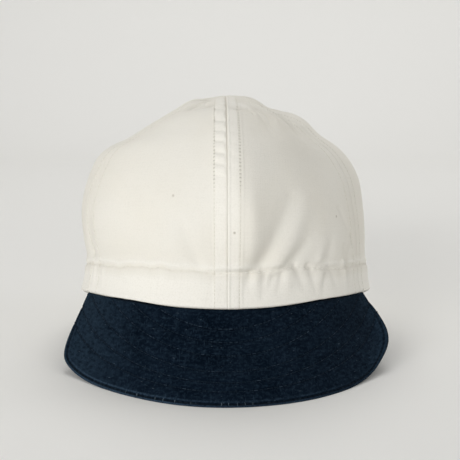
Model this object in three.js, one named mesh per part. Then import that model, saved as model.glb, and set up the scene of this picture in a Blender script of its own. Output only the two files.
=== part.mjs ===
// Work cap: six canvas crown panels with a turned-up hem, and a stitched two-layer peak.
// Millimetres, +Z up, the front towards -Y, +X to the right as seen from the front.
// The cap stands on z = 0, on the edge of its peak and on the back of its rim. Its sizes are measured
// from the middle of the crown, and the whole cap is then moved so that the origin is under its middle.

import * as THREE from 'three';
import { mergeVertices } from 'three/addons/utils/BufferGeometryUtils.js';

// Cloth and sewing
const crownWall = 1.3;
const hemWall = 3;
const hemHeight = 18;
const hemStep = 3;
const peakWall = 1.3;
const peakInset = 0.6;
const seamGap = 0.3;
const tableHeight = 0;

// Colours of the cloth
const ivoryCanvas = { color: 0xeeebe0, roughness: 0.92, metalness: 0 };
const indigoCanvas = { color: 0x172233, roughness: 0.88, metalness: 0 };

// Crown panels, by the angle from the centre front of the seams on their two sides
const panels = [
  { name: 'front_panel_left', fromDeg: -60, toDeg: 0, columns: 24 },
  { name: 'front_panel_right', fromDeg: 0, toDeg: 60, columns: 24 },
  { name: 'side_panel_left', fromDeg: -120, toDeg: -60, columns: 10 },
  { name: 'side_panel_right', fromDeg: 60, toDeg: 120, columns: 10 },
  { name: 'back_panel_left', fromDeg: -180, toDeg: -120, columns: 10 },
  { name: 'back_panel_right', fromDeg: 120, toDeg: 180, columns: 10 },
];
const rowsInHem = 2;
const rowsAboveHem = 19;
const tipLength = 3;
const tipInset = 0.36;
const widestInset = THREE.MathUtils.degToRad(25);

// Sections of the crown from the rim to the top. up: way up the cloth from the rim.
// left, right, front, back: how far the section reaches to each side, with zLeft to zBack its heights there.
// bow: how much the section arches between its sides and its front.
// The back of the rim would hang below the table, and is pressed flat on it.
const crownSections = table('up left right front back zLeft zRight zFront zBack bow', [
  [0, 87, 87, 98, 97, 26.5, 26.5, 42, -3, 1],
  [18, 83.5, 84.5, 96.5, 96.5, 44, 44, 61, 17, 1],
  [36, 85.5, 84, 97, 99.5, 61, 61, 77, 36, 0.3],
  [58, 86, 82.5, 96, 101, 80, 80, 97.5, 60, -0.4],
  [82, 80.5, 78.5, 90.5, 98, 101.5, 99.5, 117, 86, -0.8],
  [106, 71, 67.5, 80, 88, 114.5, 115, 131, 111, -1],
  [119, 60, 57, 71.5, 79.5, 119.5, 122, 136.5, 122, -1],
  [132, 46.5, 46.5, 61, 68, 128, 131, 141, 131, -1],
  [144, 33, 34, 48, 53.5, 136, 136, 143.5, 137.5, -1],
  [156, 21, 22, 34, 38, 142, 139.5, 144.5, 142.5, -1],
  [176, 8, 8, 12, 13, 144.8, 145, 145.5, 145, -1],
  [188, 0, 0, 0, 0, 145.5, 145.5, 145.5, 145.5, -1],
]);
const crownTop = crownSections.at(-1).up;
const steepestBackBow = 0.6;

// Folds of the cloth, each along a line on the unrolled crown.
// around: way along the cloth from the centre front, on a circle of girthRadius; depth: outwards if positive.
const girthRadius = 88;
const foldFade = 0.6;
const folds = table('fromAround fromUp toAround toUp width depth', [
  [17.5, 20, 38, 61, 5.5, -3.8],
  [29, 21, 48, 61, 5.5, 1.8],
  [35, 20, 50, 38, 4, -2.2],
  [55, 21, 58, 33, 3, 1.2],
  [60.5, 20, 66, 36, 3, -1.4],
  [79, 20, 85, 34, 3, -1.2],
  [-14.5, 21, -25, 48, 4, -1.5],
  [-98, 18, -93, 62, 5, -1.8],
  [100, 150, 80, 128, 9, -2],
  [125, 138, 110, 124, 9, 1.5],
]);

// Broad swells and hollows of the crown above its hem, on the same unrolled cloth.
// The first is the soft ridge down the front, just right of the centre seam.
const swells = table('around up width height depth', [
  [11, 76, 16, 40, 5],
  [-34, 94, 26, 32, -3],
  [62, 90, 28, 32, -3.6],
  [-80, 50, 22, 26, 2],
  [72, 26, 26, 16, 1.5],
]);

// Dents and swells of the crown's top, by their place seen from above; depth: outwards if positive
const topDents = table('x y width length depth', [
  [-22, 2, 6, 22, 0.8],
  [-10, 0, 7, 26, -1.5],
  [17, 2, 7, 24, 1.8],
  [27, 4, 5, 22, -1.6],
]);

// Peak: straight rulings run from the rim down to an edge that is a flat bow on the table,
// swept back more towards its ends. The corners of the edge are lifted off the table.
const peakTip = THREE.MathUtils.degToRad(61);
const peakRootSpread = 1.085;
const peakEdgeFront = -131;
const peakEdgeCurve = { left: 150, right: 188 };
const peakEdgeSweep = { left: 4, right: 26 };
const peakSweepReach = 100;
const peakEdgeSpread = { left: 104.5, right: 105 };
const peakCornerLift = { left: 11.5, right: 22.5 };
const peakLiftPower = 8.4;
const peakCornerPower = 60;
const peakNarrowestShare = 0.07;
const peakColumns = 48;
const peakRows = 5;
const peakLayers = [
  { name: 'peak_top', upper: 0, lower: peakWall },
  { name: 'peak_under', upper: peakWall + seamGap, lower: 2 * peakWall + seamGap },
];

// Rows of numbers under named columns
function table(columns, rows) {
  const names = columns.split(' ');
  return rows.map((row) => Object.fromEntries(names.map((name, index) => [name, row[index]])));
}

// The sections with one more below the rim and one more past the top, where the crown comes down again
function guardedSections() {
  const [rim, next] = crownSections;
  const top = crownSections.at(-1);
  const nearTop = crownSections.at(-2);
  const below = {};
  const past = { ...nearTop, up: 2 * top.up - nearTop.up };
  for (const name of Object.keys(rim)) {
    below[name] = 2 * rim[name] - next[name];
  }
  for (const side of ['left', 'right', 'front', 'back']) {
    past[side] = -nearTop[side];
  }
  return [below, ...crownSections, past];
}

const sections = guardedSections();

// Slope at the middle one of three sections, in one column
function slopeAt(before, here, after, name) {
  const back = here.up - before.up;
  const ahead = after.up - here.up;
  const rise = ((here[name] - before[name]) / back) * ahead + ((after[name] - here[name]) / ahead) * back;
  return rise / (back + ahead);
}

// The section at any way up the cloth, on a smooth curve through the table's rows
function sectionAt(up) {
  let index = 1;
  while (index < sections.length - 3 && up > sections[index + 1].up) {
    index += 1;
  }
  const [before, from, to, after] = sections.slice(index - 1, index + 3);
  const span = to.up - from.up;
  const t = (up - from.up) / span;
  const rest = 1 - t;
  const section = {};
  for (const name of Object.keys(from)) {
    const start = from[name] * (1 + 2 * t) + slopeAt(before, from, to, name) * span * t;
    const end = to[name] * (1 + 2 * rest) - slopeAt(from, to, after, name) * span * rest;
    section[name] = start * rest * rest + end * t * t;
  }
  return section;
}

// Share of the way from the side to the end of a section
function arch(ahead, bow) {
  return ahead * (1 + bow * (1 - ahead));
}

// A point on the smooth crown
function crownPoint(angle, up) {
  const section = sectionAt(up);
  const across = Math.sin(angle);
  const ahead = Math.cos(angle);
  const sideReach = across > 0 ? section.right : section.left;
  const endReach = ahead > 0 ? section.front : section.back;
  const zSide = THREE.MathUtils.lerp(section.zLeft, section.zRight, 0.5 + 0.5 * across);
  const rise = section.zFront - zSide;
  const fall = zSide - section.zBack;
  const evenBow = (rise * (1 + section.bow)) / Math.max(fall, 1) - 1;
  const backBow = THREE.MathUtils.clamp(evenBow, -1, steepestBackBow);
  const z = ahead > 0 ? zSide + rise * arch(ahead, section.bow) : zSide - fall * arch(-ahead, backBow);
  return new THREE.Vector3(sideReach * across, -endReach * ahead, z);
}

// How far the crown's surface moves for one radian around
function stretchAround(angle, up) {
  const step = 0.002;
  return crownPoint(angle + step, up).sub(crownPoint(angle - step, up)).divideScalar(2 * step);
}

// The crown's outward direction
function crownNormal(angle, up) {
  const step = 0.25;
  const higher = crownPoint(angle, Math.min(up + step, crownTop));
  const climb = higher.sub(crownPoint(angle, Math.max(up - step, 0)));
  return stretchAround(angle, up).cross(climb).normalize();
}

// How far the folds and swells push the cloth outwards
function foldDepth(angle, up) {
  const spot = new THREE.Vector2(angle * girthRadius, up);
  const aboveHem = THREE.MathUtils.smoothstep(up, hemHeight - hemStep, hemHeight + 2 * hemStep);
  let depth = 0;
  for (const fold of folds) {
    const from = new THREE.Vector2(fold.fromAround, fold.fromUp);
    const run = new THREE.Vector2(fold.toAround, fold.toUp).sub(from);
    const along = spot.clone().sub(from).dot(run) / run.lengthSq();
    const share = THREE.MathUtils.clamp(along, 0, 1);
    const off = spot.distanceTo(from.addScaledVector(run, share)) / fold.width;
    depth += fold.depth * (1 - foldFade * share) * Math.exp(-off * off);
  }
  for (const swell of swells) {
    const off = Math.hypot((spot.x - swell.around) / swell.width, (up - swell.up) / swell.height);
    depth += swell.depth * Math.exp(-off * off);
  }
  return depth * aboveHem;
}

// How far the dents of the top push the cloth outwards
function dentDepth(point) {
  let depth = 0;
  for (const dent of topDents) {
    const off = Math.hypot((point.x - dent.x) / dent.width, (point.y - dent.y) / dent.length);
    depth += dent.depth * Math.exp(-off * off);
  }
  return depth;
}

// Keeps a point from going below the table
function onTable(point) {
  point.z = Math.max(point.z, tableHeight);
  return point;
}

// Outer and inner point of a crown panel; the rim is cut level across the wall
function wallPoints(angle, up) {
  const normal = crownNormal(angle, up);
  const smooth = crownPoint(angle, up);
  const outer = smooth.clone().addScaledVector(normal, foldDepth(angle, up) + dentDepth(smooth));
  const above = THREE.MathUtils.clamp((up - hemHeight) / hemStep, 0, 1);
  const wall = THREE.MathUtils.lerp(hemWall, crownWall, above);
  if (up === 0) {
    normal.setZ(0).normalize();
  }
  const inner = outer.clone().addScaledVector(normal, -wall);
  return { outer: onTable(outer), inner: onTable(inner) };
}

// Ways up the cloth of a panel's rows
function panelRows() {
  const rows = [];
  for (let index = 0; index <= rowsInHem; index += 1) {
    rows.push((hemHeight * index) / rowsInHem);
  }
  const start = hemHeight + hemStep;
  const end = crownTop - tipLength;
  for (let index = 0; index <= rowsAboveHem; index += 1) {
    rows.push(THREE.MathUtils.lerp(start, end, index / rowsAboveHem));
  }
  return rows;
}

// Collects flat faces and makes one closed mesh of them
class Faces {
  corners = [];

  triangle(a, b, c) {
    this.corners.push(...a, ...b, ...c);
  }

  quad(a, b, c, d) {
    this.triangle(a, b, c);
    this.triangle(a, c, d);
  }

  mesh(name, finish) {
    const loose = new THREE.BufferGeometry();
    loose.setAttribute('position', new THREE.Float32BufferAttribute(this.corners, 3));
    const geometry = mergeVertices(loose);
    geometry.computeVertexNormals();
    const mesh = new THREE.Mesh(geometry, new THREE.MeshStandardMaterial(finish));
    mesh.name = name;
    return mesh;
  }
}

// One crown panel: a curved wall between two seams, which narrows to a tip at the crown's top
function crownPanel({ name, fromDeg, toDeg, columns }) {
  const from = THREE.MathUtils.degToRad(fromDeg);
  const to = THREE.MathUtils.degToRad(toDeg);
  const faces = new Faces();
  const grid = panelRows().map((up) => {
    const insetAt = (seam) => Math.min(seamGap / 2 / stretchAround(seam, up).length(), widestInset);
    const start = from + insetAt(from);
    const end = to - insetAt(to);
    const across = Array.from({ length: columns + 1 }, (_, index) => index / columns);
    return across.map((share) => wallPoints(THREE.MathUtils.lerp(start, end, share), up));
  });
  const middle = (from + to) / 2;
  const tip = crownPoint(middle, crownTop);
  tip.x += Math.sin(middle) * tipInset;
  tip.y -= Math.cos(middle) * tipInset;
  const innerTip = tip.clone().setZ(tip.z - crownWall);

  for (let row = 0; row < grid.length - 1; row += 1) {
    const here = grid[row];
    const next = grid[row + 1];
    for (let column = 0; column < columns; column += 1) {
      const after = column + 1;
      faces.quad(here[column].outer, here[after].outer, next[after].outer, next[column].outer);
      faces.quad(here[column].inner, next[column].inner, next[after].inner, here[after].inner);
    }
    faces.quad(here[0].outer, next[0].outer, next[0].inner, here[0].inner);
    faces.quad(here[columns].outer, here[columns].inner, next[columns].inner, next[columns].outer);
  }
  const rim = grid[0];
  const last = grid.at(-1);
  for (let column = 0; column < columns; column += 1) {
    const after = column + 1;
    faces.quad(rim[column].outer, rim[column].inner, rim[after].inner, rim[after].outer);
    faces.triangle(last[column].outer, last[after].outer, tip);
    faces.triangle(last[column].inner, innerTip, last[after].inner);
  }
  faces.quad(last[0].outer, tip, innerTip, last[0].inner);
  faces.quad(last[columns].outer, last[columns].inner, innerTip, tip);
  return faces.mesh(name, ivoryCanvas);
}

// Where a ruling of the peak starts, just under the rim and a little inside its outer face
function peakRoot(angle) {
  const rootAngle = angle * peakRootSpread;
  const inward = crownNormal(rootAngle, 0).setZ(0).normalize();
  const root = crownPoint(rootAngle, 0).addScaledVector(inward, -peakInset);
  root.z -= seamGap;
  return root;
}

// Where a ruling of the peak would meet its edge
function peakEdge(angle) {
  const side = angle > 0 ? 'right' : 'left';
  const x = peakEdgeSpread[side] * Math.sin(angle);
  const bow = (x * x) / peakEdgeCurve[side];
  const sweep = peakEdgeSweep[side] * (x / peakSweepReach) ** 4;
  const lift = peakCornerLift[side] * (Math.abs(angle) / peakTip) ** peakLiftPower;
  return new THREE.Vector3(x, peakEdgeFront + bow + sweep, lift);
}

// How much of a ruling the cloth covers: nearly all of it, rounded off at the two ends of the peak
function peakCover(angle) {
  const left = 1 - (Math.abs(angle) / peakTip) ** peakCornerPower;
  return Math.max(Math.sqrt(Math.max(left, 0)), peakNarrowestShare);
}

// A point on the peak's upper face
function peakPoint(angle, share) {
  return peakRoot(angle).lerp(peakEdge(angle), share);
}

// The peak's outward direction
function peakNormal(angle, share) {
  const step = 0.004;
  const along = peakPoint(angle + step, share).sub(peakPoint(angle - step, share));
  const down = peakEdge(angle).sub(peakRoot(angle));
  return down.cross(along).normalize();
}

// A point under the upper face; the layers start level with each other at the rim
function peakLayerPoint(angle, rowShare, depth) {
  const ruling = peakEdge(angle).sub(peakRoot(angle));
  const startShare = (depth * peakNormal(angle, 0).z) / ruling.z;
  const share = THREE.MathUtils.lerp(startShare, peakCover(angle), rowShare);
  const point = peakPoint(angle, share).addScaledVector(peakNormal(angle, share), -depth);
  return onTable(point);
}

// One cloth of the peak, between two depths below its upper face
function peakLayer({ name, upper, lower }) {
  const faces = new Faces();
  const grid = [];
  for (let column = 0; column <= peakColumns; column += 1) {
    const angle = peakTip * Math.sin(Math.PI * (column / peakColumns - 0.5));
    const line = [];
    for (let row = 0; row <= peakRows; row += 1) {
      const top = peakLayerPoint(angle, row / peakRows, upper);
      const under = peakLayerPoint(angle, row / peakRows, lower);
      line.push({ top, under });
    }
    grid.push(line);
  }
  for (let column = 0; column < peakColumns; column += 1) {
    const here = grid[column];
    const next = grid[column + 1];
    for (let row = 0; row < peakRows; row += 1) {
      const out = row + 1;
      faces.quad(here[row].top, here[out].top, next[out].top, next[row].top);
      faces.quad(here[row].under, next[row].under, next[out].under, here[out].under);
    }
    faces.quad(here[0].top, next[0].top, next[0].under, here[0].under);
    const edge = peakRows;
    faces.quad(here[edge].top, here[edge].under, next[edge].under, next[edge].top);
  }
  const leftEnd = grid[0];
  const rightEnd = grid.at(-1);
  for (let row = 0; row < peakRows; row += 1) {
    const out = row + 1;
    faces.quad(leftEnd[row].top, leftEnd[row].under, leftEnd[out].under, leftEnd[out].top);
    faces.quad(rightEnd[row].top, rightEnd[out].top, rightEnd[out].under, rightEnd[row].under);
  }
  return faces.mesh(name, indigoCanvas);
}

const cap = new THREE.Group();
for (const panel of panels) {
  cap.add(crownPanel(panel));
}
for (const layer of peakLayers) {
  cap.add(peakLayer(layer));
}

// The origin is on the table, under the middle of the whole cap
const middle = new THREE.Box3().setFromObject(cap).getCenter(new THREE.Vector3());
cap.position.set(-middle.x, -middle.y, -tableHeight);

export default cap;
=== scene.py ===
import math

import bpy
import numpy as np
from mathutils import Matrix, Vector
from mathutils.kdtree import KDTree


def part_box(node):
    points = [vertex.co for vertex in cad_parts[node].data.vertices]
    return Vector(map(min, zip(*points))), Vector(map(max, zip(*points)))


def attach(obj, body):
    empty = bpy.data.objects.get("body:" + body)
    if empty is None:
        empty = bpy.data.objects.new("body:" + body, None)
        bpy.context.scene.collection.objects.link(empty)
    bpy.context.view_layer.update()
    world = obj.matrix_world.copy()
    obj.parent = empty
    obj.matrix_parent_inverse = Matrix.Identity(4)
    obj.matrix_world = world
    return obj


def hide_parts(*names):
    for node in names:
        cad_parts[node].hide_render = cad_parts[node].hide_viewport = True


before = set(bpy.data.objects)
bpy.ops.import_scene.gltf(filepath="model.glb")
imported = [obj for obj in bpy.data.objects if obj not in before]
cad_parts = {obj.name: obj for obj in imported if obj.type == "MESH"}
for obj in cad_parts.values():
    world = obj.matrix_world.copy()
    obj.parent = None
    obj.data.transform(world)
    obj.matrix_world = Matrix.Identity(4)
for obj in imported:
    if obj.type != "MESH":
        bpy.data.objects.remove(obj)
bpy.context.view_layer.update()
mm = 0.001

# the crown's middle in the frame, from the seam of the front panels and the front of the peak's edge
peakReach = 131.0
leftFront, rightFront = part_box("front_panel_left"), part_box("front_panel_right")
crownMiddle = np.array([
    (leftFront[1].x + rightFront[0].x) / 2,
    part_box("peak_top")[0].y + peakReach * mm,
    0.0,
])
scene = bpy.context.scene


def toFrame(points):
    return points * mm + crownMiddle


def addObject(name, data):
    obj = bpy.data.objects.new(name, data)
    scene.collection.objects.link(obj)
    return obj


def makeMesh(name, points, faces):
    mesh = bpy.data.meshes.new(name)
    mesh.from_pydata(points.tolist(), [], faces)
    mesh.polygons.foreach_set("use_smooth", [True] * len(mesh.polygons))
    return addObject(name, mesh)


# studio: a pale floor that runs up into a wall, three soft lamps and the photo's camera
studio = {
    "cameraBack": 600.0,
    "cameraUp": 179.0,
    "pitchDown": 10.8,  # degrees
    "turnRight": 0.26,
    "focalPixels": 1001.0,  # on a frame of 460 pixels
    "framePixels": 460.0,
    "sensor": 36.0,
    "floorTone": (0.845, 0.838, 0.812),
    "skyTone": (1.0, 1.0, 1.0),
    "skyStrength": 0.36,
    "lampSize": 1.0,
    "lampAim": (0.0, 0.0, 0.07),
    # place in metres and watts
    "lamps": {
        "frontLamp": ((-0.81, -1.41, 0.36), 17.3),
        "topLamp": ((0.0, 0.7, 1.5), 8.2),
        "sideLamp": ((1.57, 0.3, 0.35), 6.3),
    },
}


def setCamera():
    camera = addObject("studioCamera", bpy.data.cameras.new("studioCamera"))
    camera.data.sensor_width = studio["sensor"]
    camera.data.lens = studio["sensor"] * studio["focalPixels"] / studio["framePixels"]
    camera.data.clip_start = 0.05
    camera.location = toFrame(np.array([0.0, -studio["cameraBack"], studio["cameraUp"]]))
    turn = -math.radians(studio["turnRight"])
    camera.rotation_euler = (math.radians(90 - studio["pitchDown"]), 0.0, turn)
    scene.camera = camera


def setLight():
    for name, (place, watts) in studio["lamps"].items():
        lamp = bpy.data.lights.new(name, "AREA")
        lamp.shape = "DISK"
        lamp.size = studio["lampSize"]
        lamp.energy = watts
        holder = addObject(name, lamp)
        holder.location = place
        aim = Vector(studio["lampAim"]) - holder.location
        holder.rotation_euler = aim.to_track_quat("-Z", "Y").to_euler()
    world = bpy.data.worlds.new("studioSky")
    world.use_nodes = True
    sky = world.node_tree.nodes["Background"]
    sky.inputs["Color"].default_value = (*studio["skyTone"], 1.0)
    sky.inputs["Strength"].default_value = studio["skyStrength"]
    scene.world = world
    scene.view_settings.view_transform = "Standard"
    scene.view_settings.look = "None"


def makeFloor():
    reach, wallPlace, cove, wallTop, steps = 3.0, 0.9, 0.4, 2.6, 14
    profile = [(-reach, 0.0), (wallPlace, 0.0)]
    for step in range(1, steps + 1):
        turn = math.pi / 2 * step / steps
        profile.append((wallPlace + cove * math.sin(turn), cove * (1 - math.cos(turn))))
    profile.append((wallPlace + cove, wallTop))
    points = [(x, y, z) for y, z in profile for x in (-reach, reach)]
    faces = [(2 * n, 2 * n + 1, 2 * n + 3, 2 * n + 2) for n in range(len(profile) - 1)]
    floor = makeMesh("studioFloor", np.array(points), faces)
    paint = bpy.data.materials.new("palePaper")
    paint.use_nodes = True
    shader = paint.node_tree.nodes["Principled BSDF"]
    shader.inputs["Base Color"].default_value = (*studio["floorTone"], 1.0)
    shader.inputs["Roughness"].default_value = 0.9
    shader.inputs["Specular IOR Level"].default_value = 0.1
    floor.data.materials.append(paint)


setCamera()
setLight()
makeFloor()
print("work cap: studio ready")


# short helpers for material trees
def addNode(tree, kind, values=None, **settings):
    made = tree.nodes.new(kind)
    for key, value in settings.items():
        setattr(made, key, value)
    for key, value in (values or {}).items():
        if isinstance(value, bpy.types.NodeSocket):
            tree.links.new(value, made.inputs[key])
        else:
            made.inputs[key].default_value = value
    return made


def calc(tree, operation, a, b=0.0):
    return addNode(tree, "ShaderNodeMath", {0: a, 1: b}, operation=operation).outputs[0]


def ramp(tree, value, low, high, start=0.0, end=1.0):
    spread = {"Value": value, "From Min": low, "From Max": high, "To Min": start, "To Max": end}
    return addNode(tree, "ShaderNodeMapRange", spread).outputs["Result"]


def mixTone(tree, factor, a, b):
    blend = addNode(tree, "ShaderNodeMix", data_type="RGBA", clamp_factor=True)
    for label, value in (("Factor_Float", factor), ("A_Color", a), ("B_Color", b)):
        socket = next(s for s in blend.inputs if s.identifier == label)
        if isinstance(value, bpy.types.NodeSocket):
            tree.links.new(value, socket)
        else:
            socket.default_value = (*value, 1.0)
    return next(s for s in blend.outputs if s.identifier == "Result_Color")


def noise(tree, place, scale, detail=2.0):
    spread = {"Vector": place, "Scale": scale, "Detail": detail}
    return addNode(tree, "ShaderNodeTexNoise", spread).outputs["Fac"]


def attribute(tree, label):
    return addNode(tree, "ShaderNodeAttribute", attribute_name=label).outputs["Fac"]


def objectPlace(tree):
    return addNode(tree, "ShaderNodeTexCoord").outputs["Object"]


# the piece's own cloth map, in metres, stretched along one way or the other
def clothPlace(tree, scaleU=1.0, scaleV=1.0):
    place = addNode(tree, "ShaderNodeUVMap", uv_map="clothMap").outputs["UV"]
    spread = {"Vector": place, "Scale": (scaleU, scaleV, 1.0)}
    return addNode(tree, "ShaderNodeMapping", spread).outputs["Vector"]


# threads both ways; the wave texture turns through 20 radians in each unit
def weaveHeight(tree, pitch):
    scale = math.pi / (10 * pitch)
    threads = []
    for way in ("X", "Y"):
        bands = {"Vector": clothPlace(tree), "Scale": scale, "Distortion": 0.7, "Detail Scale": 0.4}
        wave = addNode(tree, "ShaderNodeTexWave", bands, wave_type="BANDS", bands_direction=way)
        threads.append(wave.outputs["Fac"])
    return calc(tree, "MAXIMUM", *threads)


# needle holes: painted shade in small spots on a stitched row, halfway between its stitches
def needleHoleShade(tree, width, strength):
    onRow = ramp(tree, attribute(tree, "stitchAway"), 0.5 * width, width, strength, 0.0)
    part = calc(tree, "FRACT", attribute(tree, "stitchCount"))
    between = calc(tree, "ABSOLUTE", calc(tree, "SUBTRACT", part, 0.5))
    return calc(tree, "MULTIPLY", onRow, ramp(tree, between, 0.14, 0.24, 1.0, 0.0))


def startMaterial(name):
    material = bpy.data.materials.new(name)
    material.use_nodes = True
    return material, material.node_tree, material.node_tree.nodes["Principled BSDF"]


def finishMaterial(tree, shader, tone, height, look):
    for label, value in look["shader"].items():
        shader.inputs[label].default_value = value
    tree.links.new(tone, shader.inputs["Base Color"])
    strength, distance = look["bump"]
    bump = addNode(tree, "ShaderNodeBump", {"Height": height, "Strength": strength, "Distance": distance})
    tree.links.new(bump.outputs["Normal"], shader.inputs["Normal"])


ivoryLook = {
    "tone": (0.815, 0.792, 0.727),
    "warmTone": (0.80, 0.77, 0.692),
    # paler centre strips, the band lighter (partly double cloth, partly painted light), and painted
    # highlights on ridges and a top dent
    "paleTone": (0.862, 0.84, 0.775),
    "slubTone": (0.735, 0.71, 0.64),
    # painted shade: the tone for the seam dips, the hem's drawn line and the top dents
    "creaseTone": (0.60, 0.565, 0.49),
    "holeShadeTone": (0.30, 0.275, 0.23),
    "fleckTone": (0.34, 0.29, 0.22),
    "patchScale": 24.0,
    "grainScale": 1300.0,
    "slubScales": (1100.0, 40.0),  # across and along the threads
    "creaseStrength": 0.5,
    # painted shade in the needle holes
    "holeShade": (0.62, 0.48),  # width in mm, strength
    "fleckRadius": 0.00045,
    "fleckSpots": [(-28.8, 62.3, 0.4), (4.6, 41.8, 0.75), (72.2, 50.6, 0.5)],  # around, up, strength
    "weavePitch": 0.0006,
    "slubHeight": 1.2,
    "bump": (0.3, 0.0002),  # strength, distance
    "shader": {"Roughness": 0.93, "Specular IOR Level": 0.1, "Sheen Weight": 0.05, "Sheen Roughness": 0.5},
}


def ivoryCanvas(look):
    material, tree, shader = startMaterial("ivoryCanvas")
    place = objectPlace(tree)
    fine, coarse = look["slubScales"]
    warpSlub = noise(tree, clothPlace(tree, fine, coarse), 1.0)
    weftSlub = noise(tree, clothPlace(tree, coarse, fine), 1.0)
    slub = calc(tree, "ADD", warpSlub, weftSlub)
    grain = noise(tree, place, look["grainScale"])
    warm = ramp(tree, noise(tree, place, look["patchScale"], 3.0), 0.3, 0.7)
    tone = mixTone(tree, warm, look["tone"], look["warmTone"])
    # paler strips and band, partly painted light, and painted highlights on ridges and in a top dent
    tone = mixTone(tree, attribute(tree, "pale"), tone, look["paleTone"])
    for value, low, high, most in ((slub, 1.1, 1.45, 0.5), (grain, 0.45, 0.75, 0.4)):
        tone = mixTone(tree, ramp(tree, value, low, high, 0.0, most), tone, look["slubTone"])
    for around, up, strength in look["fleckSpots"]:
        angle, up = np.array(around / girthRadius), np.array(float(up))
        base = crownPoint(angle, up)
        spot = toFrame(base + crownNormal(angle, up) * mainRelief(angle, up, base))
        ends = {0: place, 1: tuple(spot)}
        off = addNode(tree, "ShaderNodeVectorMath", ends, operation="DISTANCE").outputs["Value"]
        reach = look["fleckRadius"]
        fleck = ramp(tree, off, 0.8 * reach, 2.2 * reach, strength, 0.0)
        tone = mixTone(tree, fleck, tone, look["fleckTone"])
    # painted shade in the seam dips, along the hem's drawn line and in the top dents
    crease = calc(tree, "MULTIPLY", attribute(tree, "crease"), look["creaseStrength"])
    tone = mixTone(tree, crease, tone, look["creaseTone"])
    # painted shade in the needle holes
    tone = mixTone(tree, needleHoleShade(tree, *look["holeShade"]), tone, look["holeShadeTone"])
    raised = calc(tree, "MULTIPLY", slub, look["slubHeight"])
    height = calc(tree, "ADD", weaveHeight(tree, look["weavePitch"]), raised)
    finishMaterial(tree, shader, tone, height, look)
    return material


indigoLook = {
    "deepTone": (0.0016, 0.0042, 0.0092),
    "tone": (0.0046, 0.0098, 0.0185),
    # tone for painted sheen and for lighter mottling
    "dustAndSheenTone": (0.0132, 0.0252, 0.0405),
    "fadedTone": (0.030, 0.052, 0.080),
    "speckTone": (0.13, 0.17, 0.21),
    "patchScale": 60.0,
    "grainScale": 900.0,
    "slubScales": (1300.0, 130.0),  # across and along the threads
    "mottleScales": (330.0, 560.0),
    "dashScales": (330.0, 1500.0),
    # painted shade in the needle holes
    "holeShade": (0.8, 0.6),  # width in mm, strength
    "weavePitch": 0.0008,
    "bump": (0.45, 0.0003),  # strength, distance
    "shader": {
        "Roughness": 0.9, "Specular IOR Level": 0.0, "Sheen Weight": 0.05, "Sheen Roughness": 0.4,
        "Sheen Tint": (0.55, 0.68, 0.8, 1.0),
    },
}


def indigoCanvas(look):
    material, tree, shader = startMaterial("indigoCanvas")
    place = objectPlace(tree)
    fine, coarse = look["slubScales"]
    grain = noise(tree, place, look["grainScale"])
    weftSlub = noise(tree, clothPlace(tree, coarse, fine), 1.0)
    warpSlub = noise(tree, clothPlace(tree, fine, coarse), 1.0)
    mottle = noise(tree, clothPlace(tree, *look["mottleScales"]), 1.0, 3.0)
    dash = noise(tree, clothPlace(tree, *look["dashScales"]), 1.0, 1.0)
    patch = ramp(tree, noise(tree, place, look["patchScale"], 3.0), 0.3, 0.7)
    # painted sheen mottled over the peak's left part, with a lighter faded patch at the right corner's edge
    mottledSheenAndFade = calc(tree, "MULTIPLY", attribute(tree, "fade"), ramp(tree, mottle, 0.28, 0.7, 0.25, 1.25))
    rub = calc(tree, "MULTIPLY", attribute(tree, "wear"), ramp(tree, grain, 0.3, 0.6, 0.25, 1.0))
    tone = mixTone(tree, patch, look["deepTone"], look["tone"])
    layers = [
        (calc(tree, "MINIMUM", mottledSheenAndFade, 1.0), "dustAndSheenTone"),
        (ramp(tree, mottle, 0.48, 0.72, 0.0, 0.5), "dustAndSheenTone"),
        (ramp(tree, mottle, 0.45, 0.25, 0.0, 0.6), "deepTone"),
        (ramp(tree, grain, 0.52, 0.82, 0.0, 0.4), "fadedTone"),
        (rub, "fadedTone"),
        (ramp(tree, weftSlub, 0.64, 0.76, 0.0, 0.35), "fadedTone"),
        (ramp(tree, warpSlub, 0.64, 0.76, 0.0, 0.35), "fadedTone"),
        (ramp(tree, dash, 0.745, 0.79, 0.0, 0.45), "speckTone"),
        # painted shade in the needle holes
        (needleHoleShade(tree, *look["holeShade"]), "deepTone"),
    ]
    for strength, label in layers:
        tone = mixTone(tree, strength, tone, look[label])
    height = calc(tree, "ADD", weaveHeight(tree, look["weavePitch"]), grain)
    finishMaterial(tree, shader, tone, height, look)
    return material


threadLook = {
    "fadeScale": 330.0,
    "twistScale": 4000.0,
    "bump": (0.3, 0.0001),
    "shader": {"Roughness": 0.75, "Specular IOR Level": 0.05},
}


def threadMaterial(name, tone, fadedTone, low, high):
    material, tree, shader = startMaterial(name)
    place = objectPlace(tree)
    faded = ramp(tree, noise(tree, place, threadLook["fadeScale"]), low, high)
    tone = mixTone(tree, faded, tone, fadedTone)
    finishMaterial(tree, shader, tone, noise(tree, place, threadLook["twistScale"]), threadLook)
    return material


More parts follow.
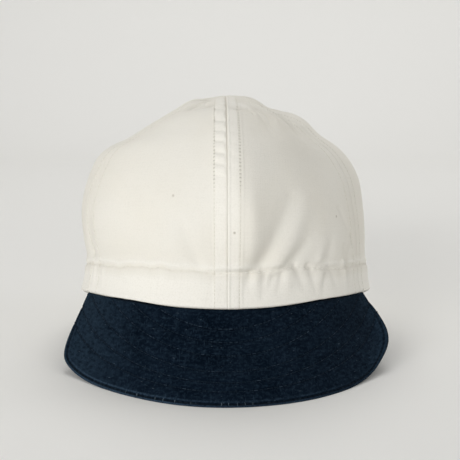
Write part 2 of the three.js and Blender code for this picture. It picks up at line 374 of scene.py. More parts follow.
# crown form: sections from the rim to the top, as the CAD panels have them
crownForm = {
    "columns": ["up", "left", "right", "front", "back", "zLeft", "zRight", "zFront", "zBack", "bow"],
    "sections": [
        [0, 87, 87, 98, 97, 26.5, 26.5, 42, -3, 1],
        [18, 83.5, 84.5, 96.5, 96.5, 44, 44, 61, 17, 1],
        [36, 85.5, 84, 97, 99.5, 61, 61, 77, 36, 0.3],
        [58, 86, 82.5, 96, 101, 80, 80, 97.5, 60, -0.4],
        [82, 80.5, 78.5, 90.5, 98, 101.5, 99.5, 117, 86, -0.8],
        [106, 71, 67.5, 80, 88, 114.5, 115, 131, 111, -1],
        [119, 60, 57, 71.5, 79.5, 119.5, 122, 136.5, 122, -1],
        [132, 46.5, 46.5, 61, 68, 128, 131, 141, 131, -1],
        [144, 33, 34, 48, 53.5, 136, 136, 143.5, 137.5, -1],
        [156, 21, 22, 34, 38, 142, 139.5, 144.5, 142.5, -1],
        [176, 8, 8, 12, 13, 144.8, 145, 145.5, 145, -1],
        [188, 0, 0, 0, 0, 145.5, 145.5, 145.5, 145.5, -1],
    ],
    "girthRadius": 88.0,
    "steepestBackBow": 0.6,
    "hemHeight": 18.0,
    "hemStep": 3.0,
    "crownWall": 1.3,
    "hemWall": 3.0,
    "foldFade": 0.75,
    # big folds above the hem: fromAround, fromUp, toAround, toUp, width, depth
    "folds": [
        [17.5, 20, 38.5, 61, 5.5, -3.1], [29, 21, 50, 61, 5.5, 2.2],
        [35, 20, 50, 38, 4, -2.2], [55, 21, 58, 33, 3, 1.2],
        [60.5, 20, 66, 36, 3, -1.4], [79, 20, 85, 34, 3, -1.2],
        [-14.5, 21, -25, 48, 4, -1.5], [-98, 18, -93, 62, 5, -1.8],
        [100, 150, 80, 128, 9, -2], [125, 138, 110, 124, 9, 1.5],
    ],
    # broad swells and hollows: around, up, width, height, depth, and how they lean around for each mm up
    "swells": [
        [9, 62, 16, 50, 6, -0.1], [14, 45, 5, 17, 1.6, 0],
        [-34, 94, 26, 32, -3, 0], [65, 92, 26, 32, -4.8, 0],
        [-80, 50, 22, 26, 2, 0], [72, 26, 26, 16, 1.5, 0],
        [-86, 10, 18, 12, 1.6, 0], [86, 10, 18, 12, 1.6, 0],
    ],
    # small puckers in the band and creases under the crown's crest, in the same columns
    "smallFolds": [
        [13.1, 17, 11.5, 10, 2.0, -1.1], [17, 15, 15, 6, 2.2, 0.6], [20.7, 17, 19.6, 4.7, 1.6, -0.9],
        [25.7, 14, 21.5, 6, 1.6, -0.7], [30.7, 16, 28.4, 7.5, 1.8, -0.9], [35, 17, 34, 5, 3.0, 0.8],
        [38.8, 19.5, 43.8, 7.5, 2.0, -1.2], [47.6, 18.5, 52.2, 5.3, 2.0, -1.2], [56, 14, 54, 6, 2.8, 0.8],
        [59.5, 12, 56.1, 2, 2.0, -0.9], [62.6, 17, 68, 6, 2.2, -1.0], [75, 18, 77.5, 3, 2.0, 1.2],
        [78.5, 17.5, 80.3, 3, 2.0, -1.0], [77, 56, 84.5, 37, 2.6, -0.7], [84.5, 37, 93, 18, 2.4, -0.7],
        [76.4, 30, 76.4, 19, 1.8, -0.6], [-92, 16, -92, 2, 1.6, 0.9], [-95, 17, -95, 6, 2.0, -0.6],
        [-81.5, 13, -81.5, 4.5, 1.6, 0.7], [28, 136, 3, 137, 3.6, -3.0], [-60, 152, -16, 147, 7.0, -2.6],
        [46, 140, 35, 113, 7.0, -2.6], [54, 132, 52, 112, 6.0, 0.5], [74, 140, 72, 119, 3.6, -2.6],
    ],
    # dents and swells of the top, seen from above: x, y, width, length, depth
    "topDents": [
        [-22, 2, 6, 22, 0.8],
        [-10, 0, 7, 26, -1.5],
        [17, 2, 7, 24, 1.8],
        [27, 4, 5, 22, -1.6],
    ],
}
crownTop = float(crownForm["sections"][-1][0])
hemUp = crownForm["hemHeight"]
girthRadius = crownForm["girthRadius"]  # angles times this are the ways around, in mm


def unit(vectors):
    return vectors / np.maximum(np.linalg.norm(vectors, axis=-1, keepdims=True), 1e-9)


def ease(low, high, value):
    t = np.clip((value - low) / (high - low), 0, 1)
    return t * t * (3 - 2 * t)


def hump(value, width):
    return np.exp(-(value / width) ** 2)


# how far a rounded edge falls away, for 0 at its start and 1 at its end
def roundEdge(t):
    return 1 - np.sqrt(np.maximum(1 - t ** 2, 0))


def levelled(vectors):
    return unit(vectors * np.array([1.0, 1.0, 0.0]))


# seeded value noise on points in mm, from -1 to 1
def clothNoise(points, size, seed):
    lattice = np.random.RandomState(seed).uniform(-1, 1, (32, 32, 32))
    place = points / size + 1000.0
    cell = np.floor(place).astype(int)
    t = place - cell
    t = t * t * (3 - 2 * t)
    total = 0.0
    for corner in range(8):
        bits = np.array([corner & 1, corner >> 1 & 1, corner >> 2 & 1])
        k = (cell + bits) % 32
        weight = np.prod(np.where(bits == 1, t, 1 - t), axis=-1)
        total += weight * lattice[k[..., 0], k[..., 1], k[..., 2]]
    return total


def lineNoise(along, size, seed):
    return clothNoise(np.stack([along, 0 * along, 0 * along], -1), size, seed)


# the section at any way up the cloth, on a smooth curve through the table's rows
def sectionAt(up):
    rows = np.array(crownForm["sections"], float)
    below = 2 * rows[0] - rows[1]
    past = rows[-2].copy()
    past[0] = 2 * rows[-1, 0] - rows[-2, 0]
    past[1:5] *= -1
    rows = np.vstack([below, rows, past])
    index = np.clip(np.searchsorted(rows[1:-1, 0], up, side="right") - 1, 0, len(rows) - 4)
    before, start, end, after = (rows[index + n] for n in range(4))
    back = start[..., :1] - before[..., :1]
    span = end[..., :1] - start[..., :1]
    ahead = after[..., :1] - end[..., :1]
    slopeIn = ((start - before) / back * span + (end - start) / span * back) / (back + span)
    slopeOut = ((end - start) / span * ahead + (after - end) / ahead * span) / (span + ahead)
    t = (up[..., None] - start[..., :1]) / span
    rest = 1 - t
    value = (start * (1 + 2 * t) + slopeIn * span * t) * rest ** 2
    value += (end * (1 + 2 * rest) - slopeOut * span * rest) * t ** 2
    return dict(zip(crownForm["columns"], np.moveaxis(value, -1, 0)))


def crownPoint(angle, up):
    angle, up = np.broadcast_arrays(np.asarray(angle, float), np.asarray(up, float))
    row = sectionAt(up)
    across, ahead = np.sin(angle), np.cos(angle)
    sideReach = np.where(across > 0, row["right"], row["left"])
    endReach = np.where(ahead > 0, row["front"], row["back"])
    zSide = row["zLeft"] + (row["zRight"] - row["zLeft"]) * (0.5 + 0.5 * across)
    rise = row["zFront"] - zSide
    fall = zSide - row["zBack"]
    backBow = rise * (1 + row["bow"]) / np.maximum(fall, 1) - 1
    backBow = np.clip(backBow, -1, crownForm["steepestBackBow"])
    near = np.abs(ahead)
    zFront = zSide + rise * near * (1 + row["bow"] * (1 - near))
    zBack = zSide - fall * near * (1 + backBow * (1 - near))
    return np.stack([sideReach * across, -endReach * ahead, np.where(ahead > 0, zFront, zBack)], -1)


def crownNormal(angle, up):
    turn, climb = 0.002, 0.25
    aroundWay = crownPoint(angle + turn, up) - crownPoint(angle - turn, up)
    above, below = np.minimum(up + climb, crownTop), np.maximum(up - climb, -1)
    return unit(np.cross(aroundWay, crownPoint(angle, above) - crownPoint(angle, below)))


def foldDepth(rows, around, up):
    depth = 0.0
    for fromAround, fromUp, toAround, toUp, width, amount in rows:
        runAround, runUp = toAround - fromAround, toUp - fromUp
        along = ((around - fromAround) * runAround + (up - fromUp) * runUp) / (runAround ** 2 + runUp ** 2)
        along = np.clip(along, 0, 1)
        off = np.hypot(around - fromAround - along * runAround, up - fromUp - along * runUp)
        depth += amount * (1 - crownForm["foldFade"] * along) * hump(off, width)
    return depth


def mainRelief(angle, up, base):
    around = angle * girthRadius
    depth = foldDepth(crownForm["folds"], around, up)
    for spot, height, width, length, amount, lean in crownForm["swells"]:
        off = around - spot - lean * (up - height)
        depth += amount * hump(off, width) * hump(up - height, length)
    depth = depth * ease(hemUp - 3, hemUp + 5, up)
    for x, y, width, length, amount in crownForm["topDents"]:
        depth += amount * hump(base[..., 0] - x, width) * hump(base[..., 1] - y, length)
    return depth


# crown panels: close cloth walls with top-stitched seam strips, a stitched hem and puckers
panelLook = {
    "spans": {
        "front_panel_left": (-60, 0.6), "front_panel_right": (0.6, 60),
        "side_panel_left": (-120, -60), "side_panel_right": (60, 120),
        "back_panel_left": (-180, -120), "back_panel_right": (120, 180),
    },
    "seamGap": 0.02,
    "stripWidth": 9.0,  # close columns beside each seam
    "stripColumns": 22,
    "midColumns": 66,
    "rowStep": 1.05,
    "hemRowStep": 0.6,
    "rimLip": 0.8,  # how far the lowest rows are drawn below the rim line
    "rimRound": 1.0,
    "edgeHang": 0.75,  # how far the hem's edge hangs below the rim line, and where it doesn't
    "edgeRaised": (54, 17.0),  # around, width
    # cloth noise: depth, size, seed; the first fades out in the hem
    "waves": [(0.4, 46.0, 11), (0.14, 11.0, 12), (0.04, 3.2, 13)],
    "tipLength": 1.2,
    "stitchAway": 6.5,
    "rightStripAway": 6.1,  # the strip to the right of the centre seam is narrower
    "stitchPitch": ([92, 115, 136], [2.0, 2.5, 3.6]),  # up and pitch
    "stripCreases": [0, 14, 28, 40, 52, 62, 71, 78.7, 86.4, 96, 105.8, 117, 134, 145.5, 156, 170, 186],
    "narrowest": 17.0,  # panel width where its two stitched rows stop
    "hemStitchPitch": 3.4,
    "stripLift": (0.42, 0.06),  # at the centre seam and at the others
    "seamDip": (0.3, 0.2),
    "stitchDip": 0.16,
    "threadLift": 0.06,
    "tableClear": 1.5,  # threads lower than this are pressed flat on the table and left out
    # painted shade and painted highlights in soft dents of the upper crown: around, up, width, height,
    # shade, highlight
    "paintedTopShades": [
        [-44, 148.5, 24, 5, 1.3, 0],
        [17, 137.5, 15, 1.6, 0.6, 0],
        [22, 146, 13, 5, 0, 0.9],
        [47, 136, 13, 10, 0.6, 0],
        [66, 106, 24, 20, 0.35, 0],
    ],
    # the needle holes' painted shade shows on the upper centre seam and closes up elsewhere
    "closedHole": 0.72,  # needle holes show on the upper centre seam and close up elsewhere
}


def rowPlace(rightStrip):
    return np.where(rightStrip, panelLook["rightStripAway"], panelLook["stitchAway"])


def panelRows():
    lip, finePart = panelLook["rimLip"], hemUp + 8
    edge = -lip + np.array([0.0, 0.1, 0.3, 0.6, 1.0, 1.5])
    low = np.arange(1.2, finePart, panelLook["hemRowStep"])
    end = crownTop - panelLook["tipLength"]
    high = np.linspace(finePart, end, int((end - finePart) / panelLook["rowStep"]))
    return np.concatenate([edge, low, high])


# how far the hem's edge hangs below the rim line, less over the peak's shoulders
def rimLip(around):
    side = np.abs(around)
    place, width = panelLook["edgeRaised"]
    return panelLook["edgeHang"] - hump(side - place, width) + 0.05 * ease(85, 105, side)


# way across the panel, in mm from its left seam, for fine steps of the angle at each way up
def panelRuns(span, ups):
    fine = np.radians(np.linspace(*span, 121))
    line = crownPoint(fine[None, :], ups[:, None])
    steps = np.linalg.norm(np.diff(line, axis=1), axis=2)
    return fine, np.concatenate([np.zeros((len(ups), 1)), np.cumsum(steps, axis=1)], axis=1)


def panelSpots(widths):
    rows = []
    for width in widths:
        strip = min(panelLook["stripWidth"], 0.38 * width)
        left = np.linspace(min(panelLook["seamGap"], 0.2 * width), strip, panelLook["stripColumns"] + 1)
        middle = np.linspace(strip, width - strip, panelLook["midColumns"] + 1)[1:-1]
        rows.append(np.concatenate([left, middle, width - left[::-1]]))
    return np.array(rows)


# seam strips: a fine dip at the seam, raised strips to the stitched rows, puffs between tight creases;
# painted shade in the dip and a painted highlight on the ridge right of the centre seam
def seamRelief(up, away, width, leftOfSeam, centre):
    narrow = np.clip(width / 16.0, 0, 1)
    rightStrip = centre & ~leftOfSeam
    beyond = away - rowPlace(rightStrip)
    strip = 1 - ease(-0.2, 1.2, beyond)
    depth = np.where(centre, *panelLook["stripLift"]) * strip
    sharp = 0.2 + 0.8 * ease(55, 95, up)
    centreDip, sideDip = panelLook["seamDip"]
    depth -= np.where(centre, centreDip * sharp, sideDip) * hump(away, 0.45)
    depth += rightStrip * (0.4 * hump(away - 0.9, 0.5) + 0.26 * hump(beyond - 1.3, 0.7))
    rows = hump(beyond, 0.5) * ease(panelLook["narrowest"] - 3, panelLook["narrowest"], width)
    depth -= np.where(centre, 1.0, 0.4) * panelLook["stitchDip"] * rows
    inStrip = ease(0.4, 1.5, away) * (1 - ease(-0.8, 0.5, beyond))
    creases = panelLook["stripCreases"]
    place = np.interp(up + np.where(leftOfSeam, -0.35, 0.5) * away, creases, np.arange(len(creases)))
    puff = np.abs(np.sin(np.pi * place)) - 0.64
    upper = 0.3 + 0.9 * ease(66, 84, up) * (1 - ease(150, 166, up))
    strength = np.where(centre & leftOfSeam, 1.0, np.where(centre, 0.2, 0.1))
    # painted shade along the seam's dip and the stitched rows
    crease = np.clip(0.5 * sharp * hump(away, 0.5) + 0.08 * rows, 0, 1) * np.where(centre, 1.0, 0.3)
    # the centre seam's strips paler, and a painted highlight on the ridge right of the centre seam
    pale = 0.6 * centre * inStrip + 0.9 * rightStrip * hump(away - 0.9, 0.5)
    return (depth + strength * puff * inStrip * upper) * narrow, crease * narrow, pale * narrow


hemLook = {
    # the scalloped line at the band's top: around, up
    "line": [
        (-150, 16.5), (-100, 15.6), (-66, 15.9), (-57, 17.6), (-50, 18.2), (-43, 17.8), (-36, 19.1),
        (-32, 18.3), (-24, 17.9), (-18, 18.5), (-13, 17.7), (5, 17.6), (18, 17.8), (32, 18.7), (41, 18.5),
        (52, 17.2), (62, 15.0), (80, 14.6), (150, 16.5),
    ],
    "gathered": (13, 20, 54, 64),  # around: where the line is drawn tight into small ticks
    "ridge": 0.85,
    "bulgeAbove": 2.4,
    "tickPitch": 3.4,
    "stitchBelow": 0.5,
    "stand": 1.1,  # the band's double cloth stands out from the crown
    "rimTuck": 1.1,
}


def hemPlace(around):
    return np.interp(around, *np.array(hemLook["line"]).T) + 0.3 * lineNoise(around, 6.0, 3)


# hem: a band that stands out and is tucked in at the rim, a drawn line along its top, small ticks at the
# front right, and the crown's cloth bulging over the line;
# painted shade along the drawn line, a painted highlight on the bulge, and the band lighter, partly double
# cloth and partly painted light
def hemRelief(around, up):
    t = up - hemPlace(around)
    begin, full, less, end = hemLook["gathered"]
    tight = ease(begin, full, around) * (1 - ease(less, end, around))
    ridge = hemLook["ridge"] * (1 + 0.35 * lineNoise(around, 7.0, 4)) * (1 - 0.7 * tight)
    drawn = (1 - 0.5 * tight) * (1 - 0.6 * hump(around + 5, 9.0))
    depth = ridge * hump(t - hemLook["bulgeAbove"], 2.2)
    depth -= 0.35 * drawn * hump(t + hemLook["stitchBelow"], 0.9)
    drift = 1.6 * lineNoise(around, 13.0, 5)
    tick = np.sin(2 * np.pi * (around + drift - 0.5 * t) / hemLook["tickPitch"])
    depth += tick * hump(t, 2.0) * (0.03 + 0.2 * tight)
    stand = hemLook["stand"] * (1 - 0.45 * hump(up - 6.5, 5.0))
    depth += stand * (1 - ease(-1.6, 0.4, t))
    depth -= hemLook["rimTuck"] * (1 - ease(-0.8, 0.6, up))
    # painted highlight on the bulge above the line, and the band lighter, partly double cloth and partly
    # painted light
    pale = 0.8 * hump(t - hemLook["bulgeAbove"], 1.9) * (1 - 0.6 * tight) + 0.95 * ease(-2.0, -7.0, t)
    # painted shade along the drawn line
    return depth, 0.3 * drawn * hump(t + hemLook["stitchBelow"], 0.8), pale


# the panel's cloth at given ways across and up: outer points and what the looks need
def panelSheet(span, ups, spots):
    fine, runs = panelRuns(span, ups)
    width = np.broadcast_to(runs[:, -1:], spots.shape)
    angle = np.array([np.interp(s, r, fine) for s, r in zip(spots, runs)])
    around = angle * girthRadius
    up = np.broadcast_to(ups[:, None], spots.shape)
    curl = np.clip(1 - (up + panelLook["rimLip"]) / panelLook["rimRound"], 0, 1)
    up = up + (panelLook["rimLip"] - rimLip(around)) * (1 - ease(-0.8, 6.0, up))
    away = np.minimum(spots, width - spots)
    leftOfSeam = spots > width / 2
    centre = np.abs(np.where(leftOfSeam, span[1], span[0])) < 1
    base, normal = crownPoint(angle, up), crownNormal(angle, up)
    main = mainRelief(angle, up, base)
    seam, seamCreaseShade, seamPaleAndHighlight = seamRelief(up, away, width, leftOfSeam, centre)
    hem, hemCreaseShade, hemPaleAndHighlight = hemRelief(around, up)
    # painted shade, and paler cloth with painted highlights, from the seams, the hem and the top dents
    crease, pale = seamCreaseShade + hemCreaseShade, seamPaleAndHighlight + hemPaleAndHighlight
    # painted shade and painted highlights in the top dents and on the upper right
    for place, high, wide, tall, shadeAmount, highlightAmount in panelLook["paintedTopShades"]:
        patch = hump(around - place, wide) * hump(up - high, tall)
        crease, pale = crease + shadeAmount * patch, pale + highlightAmount * patch
    small = foldDepth(crownForm["smallFolds"], around, up)
    broad, *fineWaves = (depth * clothNoise(base, size, seed) for depth, size, seed in panelLook["waves"])
    soft = broad * ease(hemUp, hemUp + 20, up) + sum(fineWaves)
    curled = panelLook["rimRound"] * roundEdge(curl)
    outer = base + normal * (main + seam + hem + small + soft - curled)[..., None]
    outer[..., 2] = np.maximum(outer[..., 2], 0)
    return {
        "angle": angle, "up": up, "away": away, "width": width, "normal": normal,
        "main": main, "outer": outer, "crease": np.clip(crease, 0, 1.3), "pale": np.clip(pale, 0, 1),
    }


# the cloth's inner face: the wall is thicker in the hem, and the rim is cut level across it
def panelInner(sheet):
    lowest = np.maximum(-rimLip(sheet["angle"] * girthRadius), 0)
    up = np.maximum(sheet["up"], lowest + 0.02 * (sheet["up"] + panelLook["rimLip"]))
    above = np.clip((up - hemUp) / crownForm["hemStep"], 0, 1)
    wall = crownForm["hemWall"] + (crownForm["crownWall"] - crownForm["hemWall"]) * above
    low = 1 - ease(0.0, 3.0, up)[..., None]
    outward = unit(sheet["normal"] * (1 - low) + levelled(sheet["normal"]) * low)
    base = crownPoint(sheet["angle"], up)
    inner = base + sheet["normal"] * sheet["main"][..., None] - outward * wall[..., None]
    inner[..., 2] = np.maximum(inner[..., 2], 0)
    return inner


def gridFaces(rows, columns, start=0):
    r, c = np.meshgrid(np.arange(rows - 1), np.arange(columns - 1), indexing="ij")
    a = start + r * columns + c
    return np.stack([a, a + 1, a + columns + 1, a + columns], -1).reshape(-1, 4)


# a closed wall of two equal grids, outer first; the last row of the grid may be left open
def wallFaces(rows, columns, closeEnd):
    count = rows * columns
    row, column = np.arange(rows - 1) * columns, np.arange(columns - 1)
    far, last = row + columns - 1, column + (rows - 1) * columns
    parts = [
        gridFaces(rows, columns),
        gridFaces(rows, columns, count)[:, ::-1],
        np.stack([column, column + count, column + count + 1, column + 1], -1),
        np.stack([row, row + columns, row + columns + count, row + count], -1),
        np.stack([far, far + count, far + columns + count, far + columns], -1),
    ]
    if closeEnd:
        parts.append(np.stack([last, last + 1, last + 1 + count, last + count], -1))
    return np.vstack(parts).tolist()


# stitches up a seam row, longer towards the top
def countSeamStitches(points, ups):
    steps = np.linalg.norm(np.diff(points, axis=0), axis=1)
    return np.concatenate([[0.0], np.cumsum(steps / np.interp(ups[1:], *panelLook["stitchPitch"]))])


# stitches along a line: the modifier makes a whole number of them, a little longer than the pitch
def countStitches(points, pitch):
    run = np.concatenate([[0.0], np.cumsum(np.linalg.norm(np.diff(points, axis=0), axis=1))])
    return run / run[-1] * max(int(run[-1] / pitch), 1)


# named values for each corner of the cloth, and its own map in metres
def addCloth(obj, cloth, **values):
    for label, value in values.items():
        layer = obj.data.attributes.new(label, "FLOAT", "POINT")
        layer.data.foreach_set("value", np.asarray(value, np.float32).ravel())
    corners = np.zeros(len(obj.data.loops), np.int32)
    obj.data.loops.foreach_get("vertex_index", corners)
    layer = obj.data.uv_layers.new(name="clothMap")
    layer.data.foreach_set("uv", (np.asarray(cloth)[corners] * mm).astype(np.float32).ravel())


def placePiece(obj, slot, *nodes):
    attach(obj, "root")
    if nodes:
        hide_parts(*nodes)


seamThreads, hemThreads, tickThreads = [], [], []
farAway = 9.0  # mm, past any needle hole


def addThread(threads, points, normals):
    threads.append((toFrame(points + normals * panelLook["threadLift"]), normals))


# a grid's points at one way up for each of its columns
def atHeights(grid, ups, heights):
    return np.array([[np.interp(u, ups, grid[:, c, k]) for k in range(3)] for c, u in enumerate(heights)])


# stitch numbers along the two seam rows and the hem row, and how far each corner is from the nearest row
def panelStitches(span, ups, sheet, spots):
    width = sheet["width"][:, 0]
    sewn = (width > panelLook["narrowest"]) & (ups > 0.5)
    rowCount = np.zeros((2, len(ups)))
    for side in (0, 1):
        line = rowPlace(abs(span[0]) < 1) + 0 * width if side == 0 else width - panelLook["stitchAway"]
        seamRow = panelSheet(span, ups[sewn], line[sewn][:, None])
        points, normals = seamRow["outer"][:, 0], seamRow["normal"][:, 0]
        clear = points[:, 2] > panelLook["tableClear"]
        rowCount[side] = np.interp(ups, ups[sewn], countSeamStitches(points, ups[sewn]))
        addThread(seamThreads, points[clear], normals[clear])
    nearHem = sheet["angle"][int(np.argmin(np.abs(ups - hemUp)))] * girthRadius
    hemRow = hemPlace(nearHem) - hemLook["stitchBelow"]
    points, normals = (atHeights(sheet[label], ups, hemRow) for label in ("outer", "normal"))
    ticked = span == panelLook["spans"]["front_panel_right"]
    addThread(tickThreads if ticked else hemThreads, points, normals)
    hemCount = countStitches(points, panelLook["hemStitchPitch"])
    onLeft = spots < sheet["width"] / 2
    atCentre = np.abs(np.where(onLeft, span[0], span[1])) < 1
    shown = ease(56, 72, ups) * (1 - ease(140, 148, ups))
    closed = np.where(atCentre, 1 - shown[:, None], 1.0) * panelLook["closedHole"]
    seamOff = np.abs(sheet["away"] - rowPlace(atCentre & onLeft)) + closed
    seamOff = seamOff + np.where(sewn, 0, farAway)[:, None]
    hemOff = np.abs(sheet["up"] - hemRow) + panelLook["closedHole"]
    seamCount = np.where(onLeft, rowCount[0][:, None], rowCount[1][:, None])
    count = np.where(seamOff < hemOff, seamCount, hemCount[None, :])
    return np.minimum(seamOff, hemOff), count


def buildPanel(name, material):
    span, ups = panelLook["spans"][name], panelRows()
    spots = panelSpots(panelRuns(span, ups)[1][:, -1])
    sheet = panelSheet(span, ups, spots)
    rows, columns = spots.shape
    count = rows * columns
    middle = math.radians(sum(span) / 2)
    tip = crownPoint(middle, crownTop) + np.array([math.sin(middle), -math.cos(middle), 0.0]) * 0.1
    innerTip = tip - np.array([0.0, 0.0, crownForm["crownWall"]])
    points = np.vstack([sheet["outer"].reshape(-1, 3), panelInner(sheet).reshape(-1, 3), tip, innerTip])
    faces = wallFaces(rows, columns, False)
    first, last, outTip, inTip = count - columns, count - 1, 2 * count, 2 * count + 1
    for c in range(first, last):
        faces.append([c, c + 1, outTip])
        faces.append([c + count + 1, c + count, inTip])
    faces.append([first, outTip, inTip, first + count])
    faces.append([last, last + count, inTip, outTip])
    panel = makeMesh(name + "_cloth", toFrame(points), faces)
    stitchAway, stitchCount = panelStitches(span, ups, sheet, spots)
    plain = np.zeros(count + 2)
    cloth = np.stack([spots.ravel(), sheet["up"].ravel()], -1)
    addCloth(
        panel, np.vstack([cloth, cloth, [[0, crownTop], [0, crownTop]]]),
        crease=np.concatenate([sheet["crease"].ravel(), plain]),
        pale=np.concatenate([sheet["pale"].ravel(), plain]),
        stitchAway=np.concatenate([stitchAway.ravel(), plain + farAway]),
        stitchCount=np.concatenate([stitchCount.ravel(), plain]),
    )
    panel.data.materials.append(material)
    placePiece(panel, "crown_canvas", name)
    return panel


canvas = ivoryCanvas(ivoryLook)
panelPieces = [buildPanel(name, canvas) for name in panelLook["spans"]]
print("work cap: crown panels", [len(p.data.polygons) for p in panelPieces], "faces")


# peak: two cloths sewn together in rows, from the rim down to an edge on the table
peakLook = {
    "tip": math.radians(61.0),
    "rootSpread": 1.085,
    "edgeFront": -peakReach,
    "edgeCurve": (150.0, 188.0),  # left, right
    "edgeSweep": (4.0, 26.0),
    "sweepReach": 100.0,
    "spread": (104.5, 105.0),
    "cornerLift": (11.5, 22.5),
    "liftPower": 8.4,
    "cornerPower": 60.0,
    "narrowestShare": 0.05,
    "rimInset": 0.6,
    "rootDrop": 1.25,  # the peak starts just under the hem's edge
    "underTrim": 2.8,  # the lower cloth stops short of the edge where that lies on the table
    "gap": 0.3,
    "wall": 1.3,
    "topGrid": (300, 108),  # columns and rows
    "underGrid": (220, 64),
    # stitched rows: share of the way down at the centre, and how much less at rowReach
    "rows": [(0.84, 0.37), (0.75, 0.56), (0.64, 0.79), (0.48, 1.05), (0.34, 1.28), (0.2, 1.5)],
    "rowReach": math.radians(64.0),
    "edgeRowAway": 1.85,
    "edgeRowCut": 40,  # fine steps left out at both ends of the edge row
    "rowPitch": 2.6,
    "edgePitch": 2.8,
    "groove": (0.3, 0.55),  # depth, width
    "puff": (0.28, 2.2),
    "edgeRidges": [(0.3, 0.85, 0.55), (0.3, 2.95, 0.7)],  # height, way from the edge, width
    "edgeRoll": (1.15, 1.1),  # reach, depth
    "clothRadius": 95.0,
    "threadLift": 0.08,
    "threadLowest": 0.8,
    "tickPlaces": [-51, -45, -35.4, -31.3, -25.3, -17.2, -2, 1.5, 5.8, 9.6, 13.4],
    "tickReach": 0.2,
    "tickLift": 0.3,
}


def peakRoot(angle):
    angle = angle * peakLook["rootSpread"]
    lift = np.maximum(-rimLip(angle * girthRadius), 0)
    rim = crownPoint(angle, lift)
    outward = levelled(crownNormal(angle, lift))
    return rim - outward * peakLook["rimInset"] - np.array([0.0, 0.0, peakLook["rootDrop"]])


def peakEdge(angle):
    curve, sweep, spread, lift = (np.where(angle > 0, peakLook[label][1], peakLook[label][0])
                                  for label in ("edgeCurve", "edgeSweep", "spread", "cornerLift"))
    x = spread * np.sin(angle)
    y = peakLook["edgeFront"] + x * x / curve + sweep * (x / peakLook["sweepReach"]) ** 4
    return np.stack([x, y, lift * (np.abs(angle) / peakLook["tip"]) ** peakLook["liftPower"]], -1)


def peakCover(angle):
    left = 1 - (np.abs(angle) / peakLook["tip"]) ** peakLook["cornerPower"]
    return np.maximum(np.sqrt(np.maximum(left, 0)), peakLook["narrowestShare"])


def peakPoint(angle, share):
    root = peakRoot(angle)
    return root + (peakEdge(angle) - root) * share[..., None]


def peakNormal(angle, share):
    turn = 0.004
    along = peakPoint(angle + turn, share) - peakPoint(angle - turn, share)
    return unit(np.cross(peakEdge(angle) - peakRoot(angle), along))


# stitched rows and the row along the edge, as fine lines on the smooth peak with their outward directions
def peakRowLines():
    lines = []
    for centre, fall in peakLook["rows"]:
        angle = np.linspace(-peakLook["tip"], peakLook["tip"], 1600)
        share = centre - fall * (angle / peakLook["rowReach"]) ** 2
        length = np.linalg.norm(peakEdge(angle) - peakRoot(angle), axis=-1)
        inside = (share * length > 1.0) & ((peakCover(angle) - share) * length > 3.0)
        angle, share = angle[inside], share[inside]
        lines.append((peakPoint(angle, share), peakNormal(angle, share), peakLook["rowPitch"]))
    angle = peakLook["tip"] * np.sin(np.linspace(-0.5, 0.5, 3000) * np.pi)
    share = peakCover(angle)
    edge, normal = peakPoint(angle, share), peakNormal(angle, share)
    inward = unit(np.cross(normal, np.gradient(edge, axis=0)))
    middle = peakPoint(0 * angle, 0 * angle + 0.3)
    inward = inward * np.sign(np.sum(inward * (middle - edge), -1, keepdims=True))
    row = edge + inward * peakLook["edgeRowAway"]
    kept = slice(peakLook["edgeRowCut"], -peakLook["edgeRowCut"])
    lines.append((row[kept], normal[kept], peakLook["edgePitch"]))
    return lines, edge


def nearestOf(points):
    tree = KDTree(len(points))
    for index, point in enumerate(points):
        tree.insert(point, index)
    tree.balance()
    return tree


def distanceTo(tree, points):
    _, index, away = zip(*(tree.find(point) for point in points.reshape(-1, 3)))
    return [np.array(part).reshape(points.shape[:-1]) for part in (away, index)]


rowLines, edgeLine = peakRowLines()
rowTree = nearestOf(np.vstack([line[0] for line in rowLines]))
rowCounts = np.concatenate([countStitches(line, pitch) for line, _, pitch in rowLines])
edgeTree = nearestOf(edgeLine)


# sewn grooves, puffs between them, puckers along the rows and two ridges beside the edge row; painted sheen
# over the peak's left part
def peakRelief(points, angle, rowAway, edgeAway):
    (grooveDepth, grooveWidth), (puffHeight, puffWidth) = peakLook["groove"], peakLook["puff"]
    groove = hump(rowAway, grooveWidth)
    depth = puffHeight * (1 - hump(rowAway, puffWidth)) - grooveDepth * groove
    depth += 0.14 * clothNoise(points, 5.0, 21) * (0.5 + groove)
    depth += 0.06 * clothNoise(points, 2.2, 22) + 0.35 * clothNoise(points, 34.0, 23)
    nearEdge = 1 - ease(3.0, 6.0, edgeAway)
    for height, place, width in peakLook["edgeRidges"]:
        depth += nearEdge * height * hump(edgeAway - place, width)
    reach, fall = peakLook["edgeRoll"]
    depth -= fall * roundEdge(np.clip(1 - edgeAway / reach, 0, 1))
    alongEdge = 0.42 + 0.6 * ease(-0.05, -0.45, angle) - 0.3 * ease(0.4, 0.7, angle)
    alongEdge = alongEdge * (1 - 0.7 * ease(-0.84, -1.0, angle))
    wear = alongEdge * (1.7 * hump(edgeAway - 0.5, 0.7) + 0.95 * hump(edgeAway - 3.0, 0.5))
    # painted sheen over the left part, where the light falls, and a lighter faded patch at the right
    # corner's edge
    fade = 0.95 * ease(-0.36, -0.95, angle) + 0.14 * ease(0.3, 0.8, angle)
    fade += 0.9 * ease(0.7, 0.95, angle) * hump(edgeAway, 8.0)
    return depth, np.clip(wear * (1 - 0.8 * groove), 0, 1), np.clip(fade * (1 - 0.3 * groove), 0, 1)


